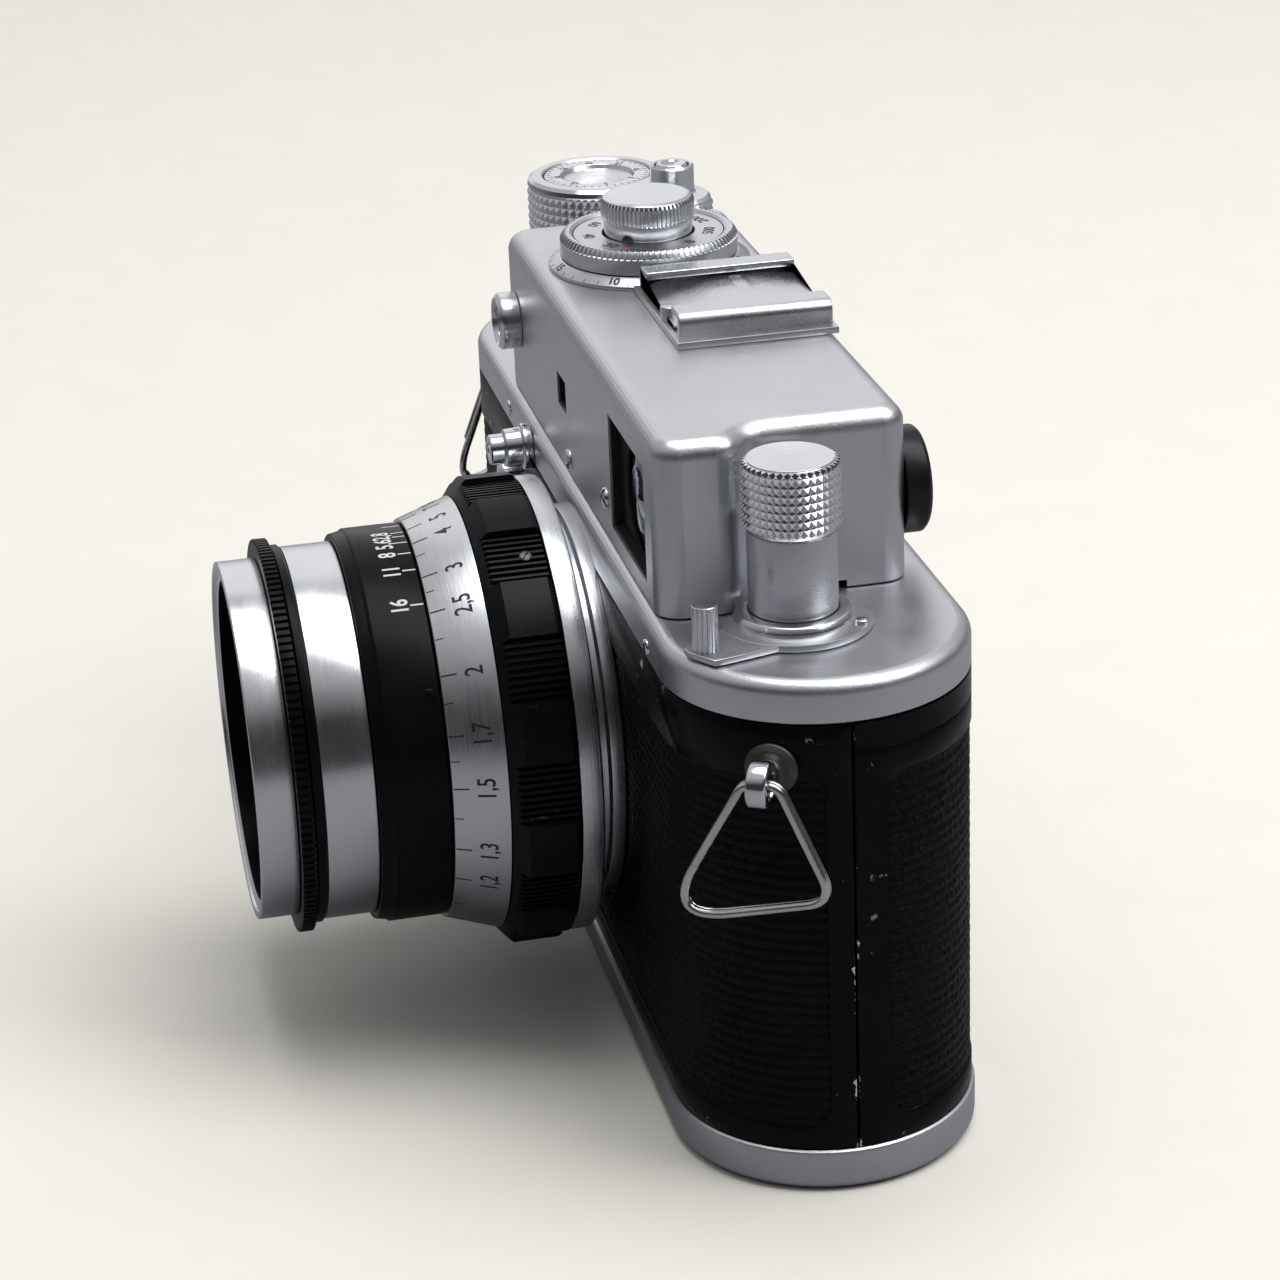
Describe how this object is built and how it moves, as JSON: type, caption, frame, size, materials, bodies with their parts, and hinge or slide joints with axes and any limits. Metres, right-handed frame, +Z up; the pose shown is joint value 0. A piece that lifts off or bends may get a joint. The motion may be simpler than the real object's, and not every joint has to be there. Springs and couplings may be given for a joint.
{
  "type": "rangefinder film camera",
  "caption": "35 mm rangefinder film camera with a removable focusing lens, knurled wind, speed and rewind knobs, accessory shoe and slide-off back.",
  "frame": {"origin": "centre of the whole camera's box at the base plate's underside", "axes": "+Z up, -Y the way the lens looks, +X towards the rewind knob"},
  "size_m": [0.1538, 0.0764, 0.0894],
  "materials": {
    "black_paint": "gloss black enamel on metal, worn to bare metal at the edges",
    "leatherette": "black leatherette with fine wavy ribs",
    "chassis_metal": "matt black painted casting",
    "satin_chrome": "fine-grained satin silver",
    "bright_metal": "turned and polished",
    "scale_metal": "satin silver with black engraved scale",
    "black_anodised": "black anodised, semi-gloss",
    "polished_chrome": "polished",
    "steel": "ground",
    "brass": "turned",
    "glass": "clear, coated",
    "curtain_cloth": "rubberised black cloth",
    "black_plastic": "moulded black"
  },
  "bodies": {
    "camera_body": {"body_shell": "black_paint", "front_leatherette": "leatherette", "film_chassis": "chassis_metal", "film_gate": "steel", "top_cover": "satin_chrome", "shutter_curtain": "curtain_cloth", "accessory_shoe": "bright_metal", "shoe_spring": "steel", "sync_scale_plate": "satin_chrome", "finder_block": "chassis_metal", "finder_front_lens": "glass", "rangefinder_window": "bright_metal", "eyepiece_ring": "black_plastic", "eyepiece_lens": "glass", "lens_mount_ring": "bright_metal", "sync_socket": "polished_chrome", "strap_lug_right": "polished_chrome", "strap_lug_left": "polished_chrome"},
    "back": {"back_cover": "black_paint", "rear_leatherette": "leatherette", "base_plate": "satin_chrome", "tripod_socket": "steel"},
    "pressure_plate": {"pressure_plate": "steel"},
    "lock_key_left": {"lock_disc_left": "satin_chrome"},
    "lock_key_right": {"lock_disc_right": "satin_chrome"},
    "lock_handle_left": {"lock_handle_left": "polished_chrome"},
    "lock_handle_right": {"lock_handle_right": "polished_chrome"},
    "lens": {"lens_base_ring": "bright_metal"},
    "focus_ring": {"focus_grip": "black_anodised", "distance_ring": "scale_metal"},
    "barrel": {"lens_barrel": "bright_metal", "depth_scale_ring": "black_anodised", "filter_cell": "bright_metal", "front_element": "glass", "rear_element": "glass"},
    "aperture_ring": {"aperture_ring": "black_anodised"},
    "rangefinder_arm": {"rangefinder_arm": "brass"},
    "rewind_spindle": {"rewind_spindle": "satin_chrome"},
    "rewind_knob": {"rewind_knob": "bright_metal"},
    "diopter_lever": {"diopter_lever": "satin_chrome"},
    "wind_knob": {"wind_knob": "satin_chrome"},
    "frame_counter": {"frame_counter": "polished_chrome"},
    "take_up_spool": {"take_up_spool": "black_plastic"},
    "film_sprocket": {"film_sprocket": "brass"},
    "curtain_drum": {"curtain_drum": "steel"},
    "spring_roller": {"spring_roller": "steel"},
    "speed_spindle": {"speed_spindle": "satin_chrome"},
    "speed_knob": {"speed_knob": "bright_metal"},
    "sync_ring": {"sync_ring": "satin_chrome"},
    "release_collar": {"release_collar": "polished_chrome"},
    "release_button": {"release_button": "polished_chrome"},
    "self_timer_lever": {"self_timer_lever": "bright_metal"},
    "self_timer_button": {"self_timer_button": "bright_metal"},
    "strap_ring_right": {"strap_ring_right": "polished_chrome"},
    "strap_ring_left": {"strap_ring_left": "polished_chrome"},
    "iris_blade_1": {"iris_blade_1": "black_anodised"},
    "iris_blade_2": {"iris_blade_2": "black_anodised"},
    "iris_blade_3": {"iris_blade_3": "black_anodised"},
    "iris_blade_4": {"iris_blade_4": "black_anodised"},
    "iris_blade_5": {"iris_blade_5": "black_anodised"}
  },
  "joints": [
    {"name": "back_slide", "type": "slide", "parent": "camera_body", "child": "back", "axis": [0, 0, -1], "range_m": [0, 0.075]},
    {"name": "pressure_plate_press", "type": "slide", "parent": "back", "child": "pressure_plate", "axis": [0, 1, 0], "range_m": [0, 0.001], "stiffness_N_per_m": 300, "springref_m": -0.001},
    {"name": "lock_left_turn", "type": "hinge", "parent": "back", "child": "lock_key_left", "pos_m": [-0.052, 0.02082, 0.0016], "axis": [0, 0, 1], "range_deg": [0, 180]},
    {"name": "lock_right_turn", "type": "hinge", "parent": "back", "child": "lock_key_right", "pos_m": [0.052, 0.02082, 0.0016], "axis": [0, 0, 1], "range_deg": [-180, 0]},
    {"name": "lock_left_handle", "type": "hinge", "parent": "lock_key_left", "child": "lock_handle_left", "pos_m": [-0.052, 0.01943, 0.00085], "axis": [-1, 0, 0], "range_deg": [0, 90]},
    {"name": "lock_right_handle", "type": "hinge", "parent": "lock_key_right", "child": "lock_handle_right", "pos_m": [0.052, 0.01943, 0.00085], "axis": [-1, 0, 0], "range_deg": [0, 90]},
    {"name": "lens_removal", "type": "slide", "parent": "camera_body", "child": "lens", "axis": [0, -1, 0], "range_m": [0, 0.03]},
    {"name": "focus_turn", "type": "hinge", "parent": "lens", "child": "focus_ring", "pos_m": [0.0098, -0.00417, 0.0351], "axis": [0, -1, 0], "range_deg": [0, 194]},
    {"name": "barrel_slide", "type": "slide", "parent": "lens", "child": "barrel", "axis": [0, -1, 0], "range_m": [0, 0.00298]},
    {"name": "aperture_turn", "type": "hinge", "parent": "barrel", "child": "aperture_ring", "pos_m": [0.0098, -0.03277, 0.0351], "axis": [0, -1, 0], "range_deg": [0, 70]},
    {"name": "rangefinder_turn", "type": "hinge", "parent": "camera_body", "child": "rangefinder_arm", "pos_m": [0.0098, 0.00843, 0.0576], "axis": [-1, 0, 0], "range_deg": [0, 24]},
    {"name": "rewind_turn", "type": "hinge", "parent": "camera_body", "child": "rewind_spindle", "pos_m": [0.0539, 0.01883, 0.062], "axis": [0, 0, 1], "continuous": true},
    {"name": "rewind_knob_lift", "type": "slide", "parent": "rewind_spindle", "child": "rewind_knob", "axis": [0, 0, 1], "range_m": [0, 0.008]},
    {"name": "diopter_turn", "type": "hinge", "parent": "camera_body", "child": "diopter_lever", "pos_m": [0.0539, 0.01883, 0.061], "axis": [0, 0, 1], "range_deg": [-18, 35]},
    {"name": "wind_turn", "type": "hinge", "parent": "camera_body", "child": "wind_knob", "pos_m": [-0.0538, 0.02092, 0.07], "axis": [0, 0, 1], "continuous": true},
    {"name": "frame_counter_turn", "type": "hinge", "parent": "camera_body", "child": "frame_counter", "pos_m": [-0.0538, 0.02092, 0.081], "axis": [0, 0, 1], "continuous": true},
    {"name": "take_up_turn", "type": "hinge", "parent": "camera_body", "child": "take_up_spool", "pos_m": [-0.0538, 0.02092, 0.03], "axis": [0, 0, 1], "continuous": true},
    {"name": "sprocket_turn", "type": "hinge", "parent": "camera_body", "child": "film_sprocket", "pos_m": [-0.034, 0.02332, 0.03], "axis": [0, 0, 1], "continuous": true},
    {"name": "curtain_drum_turn", "type": "hinge", "parent": "camera_body", "child": "curtain_drum", "pos_m": [-0.0186, 0.01963, 0.03], "axis": [0, 0, 1], "continuous": true},
    {"name": "spring_roller_turn", "type": "hinge", "parent": "camera_body", "child": "spring_roller", "pos_m": [0.0354, 0.02162, 0.03], "axis": [0, 0, 1], "continuous": true},
    {"name": "speed_turn", "type": "hinge", "parent": "camera_body", "child": "speed_spindle", "pos_m": [-0.01575, 0.01943, 0.083], "axis": [0, 0, 1], "range_deg": [0, 300]},
    {"name": "speed_knob_lift", "type": "slide", "parent": "speed_spindle", "child": "speed_knob", "axis": [0, 0, 1], "range_m": [0, 0.0015], "stiffness_N_per_m": 300, "springref_m": -0.002},
    {"name": "sync_ring_turn", "type": "hinge", "parent": "camera_body", "child": "sync_ring", "pos_m": [-0.01575, 0.01943, 0.083], "axis": [0, 0, 1], "range_deg": [0, 150]},
    {"name": "release_collar_turn", "type": "hinge", "parent": "camera_body", "child": "release_collar", "pos_m": [-0.0406, 0.02813, 0.07], "axis": [0, 0, 1], "range_deg": [0, 60]},
    {"name": "release_press", "type": "slide", "parent": "camera_body", "child": "release_button", "axis": [0, 0, -1], "range_m": [0, 0.0015], "stiffness_N_per_m": 250, "springref_m": -0.003},
    {"name": "self_timer_turn", "type": "hinge", "parent": "camera_body", "child": "self_timer_lever", "pos_m": [-0.029, 0.00382, 0.041], "axis": [0, 1, 0], "range_deg": [0, 100]},
    {"name": "self_timer_press", "type": "slide", "parent": "camera_body", "child": "self_timer_button", "axis": [0, 1, 0], "range_m": [0, 0.0008], "stiffness_N_per_m": 250, "springref_m": -0.002},
    {"name": "strap_ring_right_swing", "type": "hinge", "parent": "camera_body", "child": "strap_ring_right", "pos_m": [0.07245, 0.01018, 0.051], "axis": [-0.5, -0.866, 0], "range_deg": [-10, 110]},
    {"name": "strap_ring_left_swing", "type": "hinge", "parent": "camera_body", "child": "strap_ring_left", "pos_m": [-0.07245, 0.01018, 0.051], "axis": [-0.5, 0.866, 0], "range_deg": [-10, 110]},
    {"name": "iris_1_turn", "type": "hinge", "parent": "barrel", "child": "iris_blade_1", "pos_m": [0.0217, -0.01517, 0.0351], "axis": [0, -1, 0], "range_deg": [0, 40.2]},
    {"name": "iris_2_turn", "type": "hinge", "parent": "barrel", "child": "iris_blade_2", "pos_m": [0.01348, -0.01558, 0.04642], "axis": [0, -1, 0], "range_deg": [0, 40.2]},
    {"name": "iris_3_turn", "type": "hinge", "parent": "barrel", "child": "iris_blade_3", "pos_m": [0.00017, -0.01597, 0.0421], "axis": [0, -1, 0], "range_deg": [0, 40.2]},
    {"name": "iris_4_turn", "type": "hinge", "parent": "barrel", "child": "iris_blade_4", "pos_m": [0.00017, -0.01638, 0.02811], "axis": [0, -1, 0], "range_deg": [0, 40.2]},
    {"name": "iris_5_turn", "type": "hinge", "parent": "barrel", "child": "iris_blade_5", "pos_m": [0.01348, -0.01678, 0.02378], "axis": [0, -1, 0], "range_deg": [0, 40.2]}
  ],
  "couplings": [
    {"joint": "barrel_slide", "follows": "focus_turn", "m_per_rad": 0.000877},
    {"joint": "rangefinder_turn", "follows": "focus_turn", "ratio": 0.12},
    {"joint": "frame_counter_turn", "follows": "wind_turn", "ratio": 0.025},
    {"joint": "take_up_turn", "follows": "wind_turn", "ratio": 1},
    {"joint": "sprocket_turn", "follows": "wind_turn", "ratio": -1},
    {"joint": "curtain_drum_turn", "follows": "wind_turn", "ratio": -1.3},
    {"joint": "spring_roller_turn", "follows": "wind_turn", "ratio": -2.3},
    {"joint": "iris_1_turn", "follows": "aperture_turn", "ratio": 0.5714},
    {"joint": "iris_2_turn", "follows": "aperture_turn", "ratio": 0.5714},
    {"joint": "iris_3_turn", "follows": "aperture_turn", "ratio": 0.5714},
    {"joint": "iris_4_turn", "follows": "aperture_turn", "ratio": 0.5714},
    {"joint": "iris_5_turn", "follows": "aperture_turn", "ratio": 0.5714}
  ]
}
